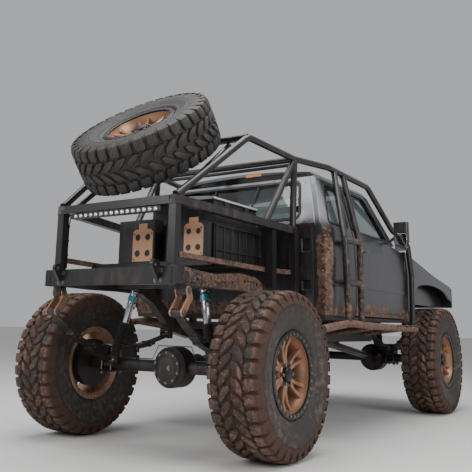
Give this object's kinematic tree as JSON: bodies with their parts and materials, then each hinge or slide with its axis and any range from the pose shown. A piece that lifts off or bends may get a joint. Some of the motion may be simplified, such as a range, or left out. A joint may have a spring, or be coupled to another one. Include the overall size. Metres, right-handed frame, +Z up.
{
  "type": "off-road pickup",
  "caption": "Lifted off-road pickup with an extended cab, outside tube cage, open tube-framed bed, leaf-sprung axles and a spare wheel on the cage.",
  "frame": {"origin": "on the floor, below the middle of the bounding box", "axes": "+Y forward, +X to the vehicle's right side, +Z up"},
  "size_m": [1.92, 4.556, 2.2717],
  "materials": {
    "tyre": "dull black rubber with dried mud on the tread",
    "wheel": "bronze paint, dusty",
    "paint": "satin black paint, dusty, muddy low down",
    "cage_paint": "black powder coat, scuffed, with mud splashes",
    "frame_paint": "dark chassis paint under caked mud",
    "steel": "bare steel with rust spots",
    "iron": "cast and forged iron under grime",
    "glass": "clear glass, dusty",
    "lens": "clear and amber lenses",
    "trim": "black textured plastic",
    "cloth": "grey seat cloth",
    "box": "black moulded plastic, dusty",
    "bronze": "bronze coating",
    "lid": "silver rimmed lid"
  },
  "bodies": {
    "chassis": {"frame_rails": "frame_paint", "crossmembers": "frame_paint", "bumpers": "cage_paint", "bed_rails": "cage_paint", "bed_bars": "cage_paint", "cage_side_tubes": "cage_paint", "rock_sliders": "cage_paint", "cage_cross_tubes": "cage_paint", "cage_braces": "cage_paint", "spare_carrier": "cage_paint", "quarter_panels": "paint", "roof": "paint", "windscreen_pillars": "paint", "cab_back": "paint", "cab_glass": "glass", "cab_floor": "frame_paint", "firewall": "paint", "front_fenders": "paint", "grille": "trim", "lamps": "lens", "engine": "iron", "axles": "iron", "leaf_springs": "iron", "shackles": "bronze", "shock_absorbers": "steel", "drive_shafts": "steel", "storage_boxes": "box", "hole_plates": "bronze", "seats": "cloth", "dashboard": "trim", "body_mounts": "trim", "tyre_spare": "tyre", "rim_spare": "wheel"},
    "wheel_rear_left": {"tyre_rear_left": "tyre", "rim_rear_left": "wheel"},
    "wheel_rear_right": {"tyre_rear_right": "tyre", "rim_rear_right": "wheel"},
    "wheel_front_left": {"tyre_front_left": "tyre", "rim_front_left": "wheel"},
    "wheel_front_right": {"tyre_front_right": "tyre", "rim_front_right": "wheel"},
    "knuckle_left": {"knuckle_left": "iron"},
    "knuckle_right": {"knuckle_right": "iron"},
    "tie_rod": {"tie_rod": "steel"},
    "door_left": {"door_left": "paint", "door_glass_left": "glass"},
    "door_right": {"door_right": "paint", "door_glass_right": "glass"},
    "hood": {"hood": "paint"},
    "chest_lid": {"chest_lid": "lid"},
    "steering_wheel": {"steering_wheel": "trim"}
  },
  "joints": [
    {"name": "rear_left_roll", "type": "hinge", "parent": "chassis", "child": "wheel_rear_left", "pos_m": [-0.758, -1.522, 0.4694], "axis": [1, 0, 0], "continuous": true},
    {"name": "rear_right_roll", "type": "hinge", "parent": "chassis", "child": "wheel_rear_right", "pos_m": [0.758, -1.522, 0.4694], "axis": [1, 0, 0], "continuous": true},
    {"name": "front_right_steer", "type": "hinge", "parent": "chassis", "child": "knuckle_right", "pos_m": [0.655, 1.553, 0.4694], "axis": [0, 0, 1], "range_deg": [-26, 26]},
    {"name": "front_left_steer", "type": "hinge", "parent": "chassis", "child": "knuckle_left", "pos_m": [-0.655, 1.553, 0.4694], "axis": [0, 0, 1], "range_deg": [-26, 26]},
    {"name": "front_left_roll", "type": "hinge", "parent": "knuckle_left", "child": "wheel_front_left", "pos_m": [-0.758, 1.553, 0.4694], "axis": [1, 0, 0], "continuous": true},
    {"name": "front_right_roll", "type": "hinge", "parent": "knuckle_right", "child": "wheel_front_right", "pos_m": [0.758, 1.553, 0.4694], "axis": [1, 0, 0], "continuous": true},
    {"name": "steering_wheel_turn", "type": "hinge", "parent": "chassis", "child": "steering_wheel", "pos_m": [-0.36, 0.278, 1.24], "axis": [0, -0.9063, 0.4226], "range_deg": [-440, 440]},
    {"name": "tie_rod_slide", "type": "slide", "parent": "chassis", "child": "tie_rod", "axis": [1, 0, 0], "range_m": [-0.07, 0.07]},
    {"name": "door_right_swing", "type": "hinge", "parent": "chassis", "child": "door_right", "pos_m": [0.812, 0.692, 1.1], "axis": [0, 0, 1], "range_deg": [0, 60]},
    {"name": "door_left_swing", "type": "hinge", "parent": "chassis", "child": "door_left", "pos_m": [-0.812, 0.692, 1.1], "axis": [0, 0, -1], "range_deg": [0, 60]},
    {"name": "hood_lift", "type": "hinge", "parent": "chassis", "child": "hood", "pos_m": [0, 0.746, 1.398], "axis": [1, 0, 0], "range_deg": [0, 50]},
    {"name": "chest_lid_lift", "type": "hinge", "parent": "chassis", "child": "chest_lid", "pos_m": [0.169, -1.636, 1.503], "axis": [1, 0, 0], "range_deg": [0, 20]}
  ],
  "couplings": [
    {"joint": "front_left_steer", "follows": "front_right_steer", "ratio": 1},
    {"joint": "steering_wheel_turn", "follows": "front_right_steer", "ratio": 16},
    {"joint": "tie_rod_slide", "follows": "front_right_steer", "m_per_rad": -0.1449}
  ]
}
